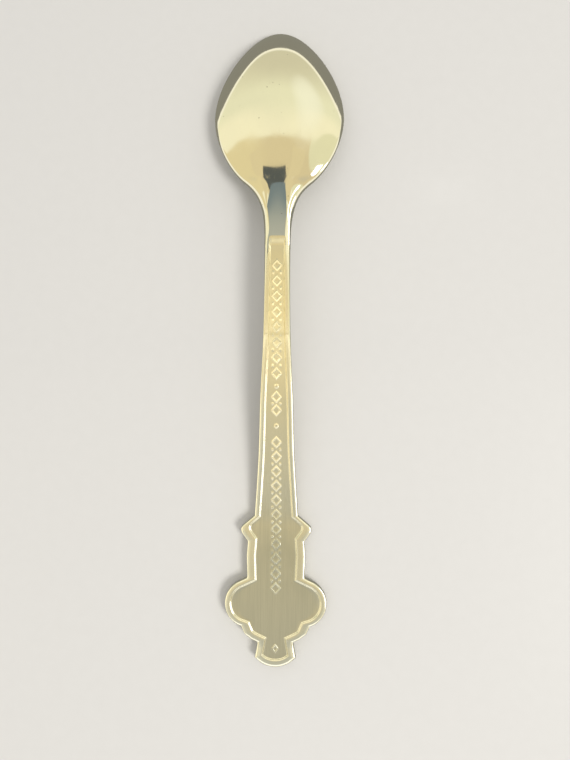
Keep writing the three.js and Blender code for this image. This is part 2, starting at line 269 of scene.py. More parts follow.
def moved_corner(before, corner, after, inset_before, inset_after):
    """Where two edges meet after each has moved inwards by its own distance."""
    first, second = unit(corner - before), unit(after - corner)
    first_in = np.array([first[1], -first[0]]) * inset_before
    second_in = np.array([second[1], -second[0]]) * inset_after
    turn = cross(first, second)
    if abs(turn) < STRAIGHT_TURN:
        return corner + second_in
    gap = second_in - first_in
    return corner + first_in + first * (cross(gap, second) / turn)


def rounded(before, corner, after, radius):
    """The corner's rounding, as points of a quadratic curve between its two tangent points."""
    back, ahead = before - corner, after - corner
    cosine = np.dot(back, ahead) / (np.linalg.norm(back) * np.linalg.norm(ahead))
    half_angle = math.acos(max(-1.0, min(1.0, cosine))) / 2
    room = TANGENT_SHARE * min(np.linalg.norm(back), np.linalg.norm(ahead))
    tangent = min(max(radius, LEAST_ROUNDING) / math.tan(half_angle), room)
    start, end = corner + unit(back) * tangent, corner + unit(ahead) * tangent
    t = np.linspace(0, 1, CORNER_STEPS + 1)[:, None]
    return start * (1 - t) ** 2 + 2 * corner * t * (1 - t) + end * t ** 2


def ring(inset):
    """Half the outline moved inwards; inset gives the distance for an edge's border width."""
    points = [corner.point for corner in CORNERS]
    first = np.array([-points[1][0], points[1][1]])
    last = np.array([-points[-2][0], points[-2][1]])
    borders = [CORNERS[0].border] + [corner.border for corner in CORNERS]
    whole = [first, *points, last]
    moved = [moved_corner(*whole[i:i + 3], inset(borders[i]), inset(borders[i + 1]))
             for i in range(len(points))]
    moved[0][0] = 0
    moved[-1][0] = 0
    spans = []
    for i, corner in enumerate(CORNERS):
        if corner.radius and 0 < i < len(moved) - 1:
            distance = inset(corner.border)
            turn = cross(moved[i] - moved[i - 1], moved[i + 1] - moved[i])
            radius = corner.radius + (-distance if turn > 0 else distance / 2)
            spans.append(rounded(moved[i - 1], moved[i], moved[i + 1], radius))
        else:
            spans.append(moved[i][None])
    result = [spans[0]]
    for span, cuts in zip(spans[1:], EDGE_CUTS):
        a, b = result[-1][-1], span[0]
        t = np.arange(1, cuts)[:, None] / cuts
        result.append(a + (b - a) * t)
        result.append(span)
    return np.vstack(result)


# ---------------------------------------------------------------- heights

outer = ring(lambda border: 0.0)
OUTLINE_Y = outer[::-1, 1]
OUTLINE_X = outer[::-1, 0]

ARCH_BLUNTNESS = 1.1
DOME_RADIUS = 1.4
DOME_LOW = 30.0
DOME_HIGH = 40.0
FLAT_LOW = 19.0
FLAT_HIGH = 26.0
FLAT_POWER = 4
FLAT_REACH = 2
TIP_LIP_Y = 46.0
HEEL_RAMP = 8.0
STEM_FLAT_Y = 12.5
STEM_ARCHED_Y = 20.5
EDGE_DROP = 0.06


def arch(share, y):
    """The arch across the spoon, from 1 in the middle to 0 at the sides, and below that outside.

    It is nearly flat in the stem and the neck, a blunt gable at the heel and part of a circle in
    the bowl.
    """
    side = math.hypot(1, ARCH_BLUNTNESS)
    gable = (side - np.hypot(share, ARCH_BLUNTNESS)) / (side - ARCH_BLUNTNESS)
    low = math.sqrt(DOME_RADIUS ** 2 - 1)
    inside = np.minimum(np.abs(share), 1)
    dome = (np.sqrt(DOME_RADIUS ** 2 - inside ** 2) - low) / (DOME_RADIUS - low)
    dome = dome - (np.abs(share) - inside) / low / (DOME_RADIUS - low)
    flat = 1 - np.minimum(np.abs(share), FLAT_REACH) ** FLAT_POWER
    return (gable + (dome - gable) * smooth(y, DOME_LOW, DOME_HIGH)
            + (flat - gable) * fall(y, FLAT_LOW, FLAT_HIGH))


def back_height(x, y):
    """The back before its edges are rounded and its panel is sunk: arched in the bowl, then level."""
    front = along(front_line, y)
    top = along(back_line, y)
    bowl_side = LIP + TIP_EXTRA * smooth(y, TIP_LIP_Y, TIP_Y)
    side = bowl_side + (NECK_SIDE - bowl_side) * fall(y, HEEL[1] - HEEL_RAMP, HEEL[1] + HEEL_RAMP)
    side = front + side + (top - front - side - EDGE_DROP) * fall(y, STEM_FLAT_Y, STEM_ARCHED_Y)
    crown = np.maximum(top - side, 1e-5)
    half = np.maximum(np.interp(y, OUTLINE_Y, OUTLINE_X), 1e-4)
    return side + crown * arch(x / half, y)


HOLLOW_SOFT = 0.16
HOLLOW_RAMP = (21.8, 23.2)
LEAST_HALF = 0.05
LEAST_CROWN = 0.02
LEAST_DEPTH = -4
OUTSIDE_SLOPE = 1.5


def front_height(x, y):
    """The face that looks down, with the hollow of the bowl and a softened edge round the hollow."""
    rim = along(front_line, y)
    crown = np.interp(y, hollow_line[:, 0], hollow_line[:, 1]) - rim
    half = np.maximum(np.interp(y, hollow_plan[:, 1], hollow_plan[:, 0]), LEAST_HALF)
    crown = np.maximum(crown, LEAST_CROWN)
    outside = np.maximum(HOLLOW_HEEL_Y - y, 0) + np.maximum(y - HOLLOW_TIP_Y, 0)
    depth = np.maximum(crown * arch(x / half, y), LEAST_DEPTH) - OUTSIDE_SLOPE * outside
    lift = (depth + np.sqrt(depth ** 2 + HOLLOW_SOFT ** 2)) / 2
    lift = lift - HOLLOW_SOFT ** 2 / 4 / (np.abs(depth) + HOLLOW_SOFT / 2) * (depth < 0)
    return rim + np.maximum(lift, 0) * smooth(y, *HOLLOW_RAMP)


# The ornament: runs of outlined lozenges with pellets beside the gaps, a boss between each two
# runs, and a smaller lozenge by itself near the end of the foot. A run is its first and last
# place and its number of lozenges. The lone one is its place, half width and half length.
LOZENGE = (0.9, 0.98)
RUNS = [(10.7, -7.6, 8), (-11.5, -13.7, 2), (-19.0, -43.3, 11)]
LONE_LOZENGE = (-53.0, 0.62, 0.7)
LOZENGE_RISE = 0.155
LOZENGE_OUTSET = 0.03
LOZENGE_FLANK = 0.11
LOZENGE_FLAT = 0.05
LOZENGE_DISH = 0.75
PELLET_X = 0.64
PELLET_RADIUS = 0.25
PELLET_RISE = 0.12
PELLET_FLANK = 0.15
BOSSES = (-9.7, -16.3)
BOSS_RADIUS = 0.42
BOSS_RISE = 0.15
BOSS_FLANK = 0.2
MARGIN = 0.2


def lozenges():
    """Each lozenge's place along the spoon, half width and half length."""
    for start, end, count in RUNS:
        for index in range(count):
            yield start + (end - start) * index / (count - 1), *LOZENGE
    yield LONE_LOZENGE


def ridge(distance):
    """A lozenge's raised outline, with the dish inside it, by the distance in from its edge."""
    inner = LOZENGE_FLANK + LOZENGE_FLAT
    dish = smooth(distance, inner, 2 * LOZENGE_FLANK + LOZENGE_FLAT)
    return smooth(distance, 0, LOZENGE_FLANK) * (1 - LOZENGE_DISH * dish)


def relief(x, y):
    """The ornament's height above the panel's floor."""
    result = np.zeros_like(x)

    def raise_to(near, height):
        result[near] = np.maximum(result[near], height)

    for centre, half_width, half_length in lozenges():
        near = np.abs(y - centre) < half_length + MARGIN
        inside = 1 - np.abs(x[near]) / half_width - np.abs(y[near] - centre) / half_length
        scale = half_width * half_length / math.hypot(half_width, half_length)
        raise_to(near, LOZENGE_RISE * ridge(inside * scale + LOZENGE_OUTSET))
    for start, end, count in RUNS:
        pitch = (end - start) / (count - 1)
        for index in range(count - 1):
            centre = start + pitch * (index + 0.5)
            near = np.abs(y - centre) < PELLET_RADIUS + MARGIN
            reach = np.hypot(np.abs(x[near]) - PELLET_X, y[near] - centre)
            raise_to(near, PELLET_RISE * smooth(PELLET_RADIUS - reach, 0, PELLET_FLANK))
    for centre in BOSSES:
        near = np.abs(y - centre) < BOSS_RADIUS + MARGIN
        inside = BOSS_RADIUS - np.hypot(x[near], y[near] - centre)
        raise_to(near, BOSS_RISE * smooth(inside, 0, BOSS_FLANK))
    return result


# ---------------------------------------------------------------- the blank as one closed mesh

BACK_ROUND = 0.45
FRONT_ROUND = 0.2
WALL = 0.34
ROUND_STEPS = 6
WALL_STEPS = 8
FLAT_STEPS = 3
PANEL_RAMP = 1.5
RELIEF_RAMP = 1.0
NECK_BEVEL = 0.26
FOOT_BEVEL = 0.16
NECK_BEVEL_RISE = (5, 16)
NECK_BEVEL_FALL = (20, 25)
FOOT_BEVEL_FALL = (-53, -51.8)
SIDE_SHARES = (1 / 3, 2 / 3)


def ring_plan(radius):
    """Each ring from the edge inwards: its inset for a border width, its drop, its wall share."""
    plan = []
    for step in range(ROUND_STEPS + 1):
        angle = step / ROUND_STEPS * math.pi / 2
        inset = radius * (1 - math.cos(angle))
        plan.append((lambda border, d=inset: d, radius * (1 - math.sin(angle)), 0.0))
    for step in range(1, FLAT_STEPS):
        share = step / FLAT_STEPS
        plan.append((lambda border, s=share: radius + (border - WALL - radius) * s, 0.0, 0.0))
    for step in range(WALL_STEPS + 1):
        share = step / WALL_STEPS
        drop = (1 - math.cos(share * math.pi)) / 2
        plan.append((lambda border, s=share: border - WALL * (1 - s), 0.0, drop))
    return plan


def panel_depth(y, depth):
    """How deep a panel is sunk: it ends in a short slope at its top."""
    return depth * fall(y, PANEL_TOP_Y - PANEL_RAMP, PANEL_TOP_Y)


def skin(radius, height, recess, sign):
    """The rings of one face, as arrays of points on the right-hand half.

    sign is 1 for the back, which is also bevelled in the neck and at the foot, and -1 for the front.
    """
    rings = []
    for inset, drop, share in ring_plan(radius):
        plan = ring(inset)
        z = height(plan[:, 0], plan[:, 1]) - sign * (drop + share * panel_depth(plan[:, 1], recess))
        if sign > 0:
            slope = np.clip(1 - inset(STEM_BORDER) / (STEM_BORDER - WALL / 2), 0, 1)
            y = plan[:, 1]
            z -= slope * NECK_BEVEL * smooth(y, *NECK_BEVEL_RISE) * fall(y, *NECK_BEVEL_FALL)
            z -= slope * FOOT_BEVEL * fall(y, *FOOT_BEVEL_FALL)
        rings.append(np.column_stack([plan, z]))
    return rings


BACK_COLUMNS = 36
FRONT_COLUMNS = 16
SIDE_COLUMNS = 5
ORNAMENT_HALF = 1.05
ORNAMENT_SHARE = 0.85
EVEN_RAMP = (12.5, 19)


def column_places(half, y, columns):
    """Where a row's columns stand between -half and half: close together over the ornament."""
    centre = min(ORNAMENT_HALF, half * ORNAMENT_SHARE)
    inner = np.linspace(-centre, centre, columns + 1)
    side = np.linspace(centre, half, SIDE_COLUMNS + 1)[1:]
    packed = np.concatenate([-side[::-1], inner, side])
    even = np.linspace(-half, half, len(packed))
    return packed + (even - packed) * smooth(y, *EVEN_RAMP)


BRIGHT, SATIN, MIRROR = 0, 1, 2


class MeshData:
    """Points and faces on their way into a mesh, with the kind of metal on each face."""

    def __init__(self):
        self.points = []
        self.faces = []
        self.kinds = []

    def add(self, point):
        """Adds a point and gives its number."""
        self.points.append(tuple(point))
        return len(self.points) - 1

    def loop(self, half):
        """A closed ring from its right-hand half: down the right side, and back up the left."""
        right = [self.add(point) for point in half]
        left = [self.add((-x, y, z)) for x, y, z in half[1:-1]]
        return right + left[::-1]

    def add_face(self, face, kind, flip):
        self.faces.append(face[::-1] if flip else face)
        self.kinds.append(kind)

    def band(self, a, b, flip):
        """Bright faces between two rings."""
        count = len(a)
        for i in range(count):
            j = (i + 1) % count
            self.add_face((a[i], a[j], b[j], b[i]), BRIGHT, flip)

    def ladder(self, loop, half, height, columns, flip):
        """Fills the inside of the last ring with rows of satin faces across it."""
        count = len(half)
        rows = [[loop[0]]]
        for i in range(1, count - 1):
            x, y = half[i][0], half[i][1]
            across = column_places(x, y, columns)[1:-1]
            z = height(across, np.full(len(across), y))
            middle = [self.add((ax, y, az)) for ax, az in zip(across, z)]
            rows.append([loop[2 * count - 2 - i]] + middle + [loop[i]])
        rows.append([loop[count - 1]])
        for upper, lower in zip(rows, rows[1:]):
            for c in range(max(len(upper), len(lower)) - 1):
                if len(upper) == 1:
                    face = (upper[0], lower[c], lower[c + 1])
                elif len(lower) == 1:
                    face = (upper[c], lower[0], upper[c + 1])
                else:
                    face = (upper[c], lower[c], lower[c + 1], upper[c + 1])
                self.add_face(face, SATIN, flip)


def blank():
    """The whole spoon in one closed skin."""
    data = MeshData()
    back = skin(BACK_ROUND, back_height, BACK_RECESS, 1)
    # A known flaw: the front's recess has the wrong sign here, so that its inner walls end in a
    # ridge 0.3 mm below the border, and slope up from there to the panel's floor.
    front = skin(FRONT_ROUND, front_height, -FRONT_RECESS, -1)
    back_loops = [data.loop(half) for half in back]
    front_loops = [data.loop(half) for half in front]
    side = [back_loops[0]]
    for share in SIDE_SHARES:
        side.append(data.loop(back[0] + (front[0] - back[0]) * share))
    side.append(front_loops[0])
    for a, b in zip(side, side[1:]):
        data.band(a, b, True)
    for a, b in zip(back_loops, back_loops[1:]):
        data.band(a, b, False)
    for a, b in zip(front_loops, front_loops[1:]):
        data.band(a, b, True)

    def back_floor(x, y):
        floor = back_height(x, y) - panel_depth(y, BACK_RECESS)
        return floor + relief(x, y) * fall(y, PANEL_TOP_Y - RELIEF_RAMP, PANEL_TOP_Y)

    def front_floor(x, y):
        return front_height(x, y) + panel_depth(y, FRONT_RECESS)

    data.ladder(back_loops[-1], back[-1], back_floor, BACK_COLUMNS, False)
    data.ladder(front_loops[-1], front[-1], front_floor, FRONT_COLUMNS, True)
    return data


def mesh_object(name, points, faces):
    """A new object from points in mm."""
    mesh = bpy.data.meshes.new(name)
    mesh.from_pydata([tuple(c * MM for c in point) for point in points], [], faces)
    mesh.update()
    item = bpy.data.objects.new(name, mesh)
    bpy.context.scene.collection.objects.link(item)
    return item


def prism(name, outline, axis, low, high):
    """An outline in the plane across an axis, drawn out between two places on that axis."""
    count = len(outline)
    points = []
    for place in (low, high):
        for a, b in outline:
            point = [a, b]
            point.insert(axis, place)
            points.append(point)
    faces = [tuple(range(count)), tuple(range(2 * count - 1, count - 1, -1))]
    faces += [(i, i + count, (i + 1) % count + count, (i + 1) % count) for i in range(count)]
    item = mesh_object(name, points, faces)
    fix_normals(item)
    return item


def fix_normals(item):
    """Turns every face outwards."""
    work = bmesh.new()
    work.from_mesh(item.data)
    bmesh.ops.recalc_face_normals(work, faces=work.faces)
    work.to_mesh(item.data)
    work.free()


def settle(item):
    """Makes the result of an object's modifiers its mesh."""
    bpy.context.view_layer.update()
    depsgraph = bpy.context.evaluated_depsgraph_get()
    mesh = bpy.data.meshes.new_from_object(item.evaluated_get(depsgraph), depsgraph=depsgraph)
    mesh.name = item.name
    item.modifiers.clear()
    item.data = mesh


def carved(name, base, cutters, operation):
    """A new object: base with each cutter taken away, or with only its inside kept, as plain mesh."""
    item = bpy.data.objects.new(name, base.data.copy())
    bpy.context.scene.collection.objects.link(item)
    for cutter in cutters:
        cut = item.modifiers.new("cut", "BOOLEAN")
        cut.operation = operation
        cut.solver = "MANIFOLD"
        cut.object = cutter
    settle(item)
    if len(item.data.vertices) == len(base.data.vertices):
        raise RuntimeError(f"{name} wasn't cut")
    return item


SILVER_SHARP = 35
CREST_SHARP = 30
GLAZE_SHARP = 50
BEVEL_SHARP = 40


def shade(item, angle):
    """Smooth shading, with edges kept sharp from an angle in degrees."""
    item.data.shade_smooth()
    item.data.set_sharp_from_angle(angle=math.radians(angle))


def remove(*items):
    for item in items:
        bpy.data.objects.remove(item)


CUT_MARGIN = 4
CUT_HALF_WIDTH = 15


def lap_zone(name, lap_z):
    """The handle's side of the lap joint: all up to JOINT_Y, and the tongue under lap_z."""
    low_y, low_z, high_z = END_Y - CUT_MARGIN, -CUT_MARGIN, BOWL_TOP + CUT_MARGIN
    outline = [(low_y, low_z), (TONGUE_END_Y, low_z), (TONGUE_END_Y, lap_z),
               (JOINT_Y, lap_z), (JOINT_Y, high_z), (low_y, high_z)]
    return prism(name, outline, 0, -CUT_HALF_WIDTH, CUT_HALF_WIDTH)


blank_data = blank()
whole = mesh_object("blank", blank_data.points, blank_data.faces)
fix_normals(whole)
for face, kind in zip(whole.data.polygons, blank_data.kinds):
    face.material_index = kind
handle_zone = lap_zone("handle_zone", LAP_Z)
bowl_zone = lap_zone("bowl_zone", LAP_Z + SOLDER)
bowl = carved("spoon_bowl", whole, [bowl_zone], "DIFFERENCE")
handle = carved("spoon_handle", whole, [handle_zone], "INTERSECT")
remove(whole, handle_zone, bowl_zone)
for piece in (bowl, handle):
    shade(piece, SILVER_SHARP)
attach(bowl, "root")
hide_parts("bowl")
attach(handle, "root")
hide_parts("handle")

# ---------------------------------------------------------------- the crest

# The fields' outlines are as seen from the front, as (x, up) from the crest's middle.
ENAMEL_FACE = 0.03
ENAMEL_BACK = 0.38
CELL_WALL = 0.45
VALLEY = -1.7
RIDGE = [(-5, -1.4), (-2.5, 0.8), (-1.6, 0), (0, 2.3), (1.6, 0), (2.5, 0.8), (5, -1.4)]
FIELDS = {
    "enamel_sky": [(x, up + CELL_WALL) for x, up in RIDGE] + [(5, 5), (-5, 5)],
    "enamel_peaks": RIDGE + [(5, VALLEY), (-5, VALLEY)],
    "enamel_meadow": [(-5, -5), (5, -5), (5, VALLEY - CELL_WALL), (-5, VALLEY - CELL_WALL)],
}
DISC_STEPS = 160
EDGE_STEPS = 5
CREST_LOW_ROUND = 0.16
CREST_HIGH_ROUND = 0.06
POCKET_LOW = -0.3
LIMIT_MARGIN = 1


def turned(name, profile):
    """A solid turned about the crest's axis, from (radius, z) points, with flat ends."""
    angles = [2 * math.pi * i / DISC_STEPS for i in range(DISC_STEPS)]
    points = [(r * math.cos(a), CREST_Y + r * math.sin(a), z) for r, z in profile for a in angles]
    faces = []
    for low in range(0, len(points) - DISC_STEPS, DISC_STEPS):
        high = low + DISC_STEPS
        for i in range(DISC_STEPS):
            j = (i + 1) % DISC_STEPS
            faces.append((low + i, low + j, high + j, high + i))
    faces.append(tuple(range(DISC_STEPS)))
    faces.append(tuple(range(len(points) - DISC_STEPS, len(points))))
    item = mesh_object(name, points, faces)
    fix_normals(item)
    return item


def rounded_profile(radius, low, high, low_round, high_round):
    """The side view of a disc with both its edges rounded, from its bottom face to its top."""
    angles = [step / EDGE_STEPS * math.pi / 2 for step in range(EDGE_STEPS + 1)]
    shares = [(1 - math.sin(angle), 1 - math.cos(angle)) for angle in angles]
    lower = [(radius - low_round * a, low + low_round * b) for a, b in shares]
    upper = [(radius - high_round * b, high - high_round * a) for a, b in shares]
    return lower + upper


def bevelled(item, width, segments):
    """Rounds an object's sharp edges for good."""
    bevel = item.modifiers.new("bevel", "BEVEL")
    bevel.width = width * MM
    bevel.segments = segments
    bevel.limit_method = "ANGLE"
    bevel.angle_limit = math.radians(BEVEL_SHARP)
    settle(item)


FIELD_RADIUS = CREST_RADIUS - CREST_RIM


def field_prism(name, outline, low):
    """One field of the crest, inside the rim, from a low face up to the back of the enamel."""
    flat = [(x, CREST_Y - up) for x, up in outline]
    block = prism(name + "_block", flat, 2, low, ENAMEL_BACK)
    limit = turned(name + "_limit", [(FIELD_RADIUS, low - LIMIT_MARGIN),
                                     (FIELD_RADIUS, ENAMEL_BACK + LIMIT_MARGIN)])
    field = carved(name, block, [limit], "INTERSECT")
    remove(block, limit)
    return field


plate = turned("plate_blank", rounded_profile(
    CREST_RADIUS, CREST_LOW.z, CREST_HIGH.z, CREST_LOW_ROUND, CREST_HIGH_ROUND))
pockets = [field_prism(name + "_pocket", outline, POCKET_LOW) for name, outline in FIELDS.items()]
crest = carved("crest_badge", plate, pockets, "DIFFERENCE")
remove(plate, *pockets)
bevelled(crest, width=0.035, segments=2)
shade(crest, CREST_SHARP)
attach(crest, "root")
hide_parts("crest_plate")
enamels = {}
for name, outline in FIELDS.items():
    field = field_prism(name.replace("enamel", "glaze"), outline, ENAMEL_FACE)
    bevelled(field, width=0.07, segments=4)
    shade(field, GLAZE_SHARP)
    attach(field, "root")
    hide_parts(name)
    enamels[name] = field


# ---------------------------------------------------------------- materials

class Graph:
    """A short way to write a node tree."""

    def __init__(self, tree):
        self.tree = tree
        tree.nodes.clear()

    def node(self, kind, inputs=(), **settings):
        item = self.tree.nodes.new(kind)
        for name, value in settings.items():
            setattr(item, name, value)
        for name, value in dict(inputs).items():
            self.feed(item.inputs[name], value)
        return item

    def feed(self, socket, value):
        """Links another socket to a socket, or sets its value."""
        if isinstance(value, bpy.types.NodeSocket):
            self.tree.links.new(value, socket)
        else:
            socket.default_value = value

    def scaled(self, value, factor):
        return self.calc("MULTIPLY", value, factor)

    def calc(self, operation, a, b=0.0, c=0.0):
        item = self.node("ShaderNodeMath", {0: a, 1: b, 2: c}, operation=operation)
        return item.outputs[0]

    def mix(self, factor, a, b):
        """Colour a where factor is 0, and b where it is 1."""
        item = self.node("ShaderNodeMix", data_type="RGBA")
        self.feed(item.inputs[0], factor)
        self.feed(item.inputs[6], a)
        self.feed(item.inputs[7], b)
        return item.outputs[2]

    def step(self, value, low, high, to_low=0.0, to_high=1.0):
        """A smooth change from to_low at low to to_high at high, where low may be above high."""
        item = self.node("ShaderNodeMapRange", {
            "Value": value, "From Min": low, "From Max": high, "To Min": to_low, "To Max": to_high,
        }, interpolation_type="SMOOTHSTEP")
        return item.outputs["Result"]

    def place(self, scale, turn=0.0):
        """Object coordinates in mm, turned about Z and stretched."""
        coordinates = self.node("ShaderNodeTexCoord").outputs["Object"]
        return self.node("ShaderNodeMapping", {
            "Vector": coordinates, "Rotation": (0, 0, turn), "Scale": [s / MM for s in scale],
        }).outputs["Vector"]

    def along_spoon(self):
        """The place along the spoon, in mm."""
        return self.node("ShaderNodeSeparateXYZ", {0: self.place((1, 1, 1))}).outputs["Y"]

    def noise(self, scale, detail, turn=0.0, roughness=0.5):
        return self.node("ShaderNodeTexNoise", {
            "Vector": self.place(scale, turn), "Scale": 1.0, "Detail": detail, "Roughness": roughness,
        }).outputs["Fac"]


def rgba(*colour):
    return (*colour, 1.0)


def material(name):
    """A new material, with its graph and its shader."""
    item = bpy.data.materials.new(name)
    item.use_nodes = True
    graph = Graph(item.node_tree)
    output = graph.node("ShaderNodeOutputMaterial")
    shader = graph.node("ShaderNodeBsdfPrincipled")
    item.node_tree.links.new(shader.outputs[0], output.inputs[0])
    return item, graph, shader


def bump(graph, shader, height, distance):
    """Bumps from a height between 0 and 1, as deep as distance in mm."""
    item = graph.node("ShaderNodeBump", {
        "Strength": 1.0, "Distance": distance * MM, "Height": height,
    })
    graph.feed(shader.inputs["Normal"], item.outputs[0])


def hairlines(graph, directions, length, width, low, high):
    """Fine scratches: noise stretched to a length in several directions, cut to thin lines."""
    total = None
    for turn in directions:
        line = graph.step(graph.noise((width, 1 / length, width), 1.0, turn), low, high)
        total = line if total is None else graph.calc("MAXIMUM", total, line)
    return total


SILVER_LOW = (0.93, 0.895, 0.80)
SILVER_HIGH = (0.955, 0.92, 0.815)
SPECK = (0.16, 0.14, 0.11)
TARNISH = (0.53, 0.53, 0.47)
CLOUD_TARNISH = 0.2
# The share and range of the handle's brightening towards the bowl are painted light, a painted sheen.
SHEEN_SHARE = 0.95
SHEEN_RANGE = (-40.0, -2.0)
WORN_RANGE = (-24.0, -38.0)
POLISH_RANGE = (7.0, 15.6)
PINHOLE_SHADE = 0.4


def mirror_silver():
    """Polished plate, with a slight wave, fine scratches and a few dark specks."""
    item, graph, shader = material("mirror_silver")
    tone = graph.noise((0.16, 0.11, 0.2), 3.0)
    warm = graph.mix(graph.step(tone, 0.35, 0.7), rgba(*SILVER_LOW), rgba(*SILVER_HIGH))
    lines = hairlines(graph, (0.35, 1.2, 2.25), 3.5, 7.0, 0.70, 0.80)
    specks = graph.step(graph.noise((2.6, 2.6, 2.6), 0.0), 0.855, 0.885)
    colour = graph.mix(graph.scaled(specks, 0.8), warm, rgba(*SPECK))
    graph.feed(shader.inputs["Base Color"], colour)
    shader.inputs["Metallic"].default_value = 1.0
    haze = graph.step(graph.noise((0.4, 0.3, 0.4), 4.0), 0.3, 0.8, 0.045, 0.085)
    rough = graph.calc("ADD", haze, graph.scaled(lines, 0.1))
    graph.feed(shader.inputs["Roughness"], graph.calc("ADD", rough, graph.scaled(specks, 0.4)))
    wave = graph.noise((0.22, 0.17, 0.22), 1.0)
    height = graph.calc("MULTIPLY_ADD", lines, -0.012, wave)
    bump(graph, shader, height, 0.02)
    return item


def satin_silver(name, dull, pale, painted_sheen, rough_low, rough_high, depth, worn, polish):
    """Silver brushed along the handle.

    It runs from dull and pale streaks at the finial to a brighter, plain colour towards the bowl;
    that brightening is painted light, a painted sheen, while the streaks are the metal's own. worn
    is how much tarnish the finial has, and polish how much smoother the top of the stem is.
    """
    item, graph, shader = material(name)
    fine = graph.noise((4.6, 0.11, 4.6), 4.0, roughness=0.65)
    broad = graph.noise((1.3, 0.07, 1.3), 3.0)
    cloud = graph.noise((0.13, 0.09, 0.2), 3.0)
    streak = graph.calc("MULTIPLY_ADD", fine, 0.55, graph.scaled(broad, 0.45))
    colour = graph.mix(graph.step(streak, 0.3, 0.7), rgba(*dull), rgba(*pale))
    place = graph.along_spoon()
    # Painted light: a painted sheen that brightens the colour from the finial towards the bowl.
    sheen_mask = graph.scaled(graph.step(place, *SHEEN_RANGE), SHEEN_SHARE)
    colour = graph.mix(sheen_mask, colour, rgba(*painted_sheen))
    clouds = graph.step(cloud, 0.5, 0.8, 0.0, CLOUD_TARNISH)
    tarnish = graph.calc("ADD", clouds, graph.step(place, *WORN_RANGE, 0.0, worn))
    graph.feed(shader.inputs["Base Color"], graph.mix(tarnish, colour, rgba(*TARNISH)))
    shader.inputs["Metallic"].default_value = 1.0
    rough = graph.step(streak, 0.25, 0.75, rough_high, rough_low)
    polished = graph.step(place, *POLISH_RANGE, 0.0, polish)
    graph.feed(shader.inputs["Roughness"], graph.calc("SUBTRACT", rough, polished))
    bump(graph, shader, streak, depth)
    return item


def solder():
    """Dull grey solder with a coarse grain."""
    item, graph, shader = material("solder_grey")
    grain = graph.noise((3.0, 3.0, 3.0), 5.0, roughness=0.7)
    graph.feed(shader.inputs["Base Color"],
               graph.mix(graph.step(grain, 0.3, 0.7), rgba(0.42, 0.41, 0.38), rgba(0.66, 0.65, 0.61)))
    shader.inputs["Metallic"].default_value = 1.0
    graph.feed(shader.inputs["Roughness"], graph.step(grain, 0.3, 0.7, 0.6, 0.4))
    bump(graph, shader, grain, 0.03)
    return item


def gilt():
    """Gilt metal, a little uneven, with fine scratches."""
    item, graph, shader = material("gilt")
    tone = graph.noise((0.7, 0.7, 0.7), 3.0)
    graph.feed(shader.inputs["Base Color"],
               graph.mix(graph.step(tone, 0.3, 0.7), rgba(0.78, 0.60, 0.30), rgba(0.90, 0.74, 0.42)))
    shader.inputs["Metallic"].default_value = 1.0
    lines = hairlines(graph, (0.5, 1.9), 1.5, 8.0, 0.68, 0.8)
    graph.feed(shader.inputs["Roughness"], graph.calc("MULTIPLY_ADD", lines, 0.15, 0.16))
    bump(graph, shader, tone, 0.008)
    return item


def enamel(name, dark, light):
    """Vitreous enamel: colour that pools, a glossy coat, and a few pinholes."""
    item, graph, shader = material(name)
    pool = graph.noise((0.5, 0.5, 0.5), 4.0)
    pinhole = graph.step(graph.noise((5.0, 5.0, 5.0), 0.0), 0.84, 0.87)
    colour = graph.mix(graph.step(pool, 0.3, 0.7), rgba(*dark), rgba(*light))
    hole = rgba(*[channel * PINHOLE_SHADE for channel in dark])
    graph.feed(shader.inputs["Base Color"], graph.mix(pinhole, colour, hole))
    graph.feed(shader.inputs["Roughness"], graph.step(pool, 0.2, 0.8, 0.1, 0.2))
    shader.inputs["Coat Weight"].default_value = 0.6
    shader.inputs["Coat Roughness"].default_value = 0.04
    bump(graph, shader, graph.noise((0.9, 0.9, 0.9), 2.0), 0.015)
    return item


mirror = mirror_silver()
# Each handle material's colour towards the bowl is painted light, a painted sheen brighter than its
# streaks.
border = satin_silver(
    "border_silver", dull=(0.90, 0.87, 0.77), pale=(0.96, 0.93, 0.83), painted_sheen=(1.0, 0.945, 0.79),
    rough_low=0.2, rough_high=0.27, depth=0.0015, worn=0.0, polish=0.15)
satin = satin_silver(
    "panel_silver", dull=(0.74, 0.70, 0.59), pale=(0.98, 0.93, 0.80), painted_sheen=(1.0, 0.915, 0.69),
    rough_low=0.26, rough_high=0.38, depth=0.005, worn=0.5, polish=0.0)
solder_grey = solder()


def dress(item, *materials):
    """Gives an object its materials, and keeps the number of each face's material."""
    kinds = [face.material_index for face in item.data.polygons]
    item.data.materials.clear()
    for one in materials:
        item.data.materials.append(one)
    for face, kind in zip(item.data.polygons, kinds):
        face.material_index = min(kind, len(materials) - 1)


NECK_MIRROR_Y = PANEL_TOP_Y + 0.05
for face in bowl.data.polygons:
    face.material_index = BRIGHT
for face in handle.data.polygons:
    if face.center.y / MM > NECK_MIRROR_Y:
        face.material_index = MIRROR
dress(bowl, mirror)
dress(handle, border, satin, mirror)
dress(crest, gilt())
dress(enamels["enamel_sky"], enamel("blue_glaze", (0.03, 0.13, 0.38), (0.07, 0.27, 0.60)))
dress(enamels["enamel_peaks"], enamel("white_glaze", (0.78, 0.78, 0.74), (0.90, 0.90, 0.87)))
dress(enamels["enamel_meadow"], enamel("green_glaze", (0.02, 0.20, 0.07), (0.07, 0.40, 0.14)))
for name in ("neck_solder", "crest_solder"):
    dress(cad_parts[name], solder_grey)


# ---------------------------------------------------------------- floor, light and camera

def stage_plane(name, points):
    """A flat piece of the stage, from its corners in mm."""
    item = mesh_object(name, points, [tuple(range(len(points)))])
    return item


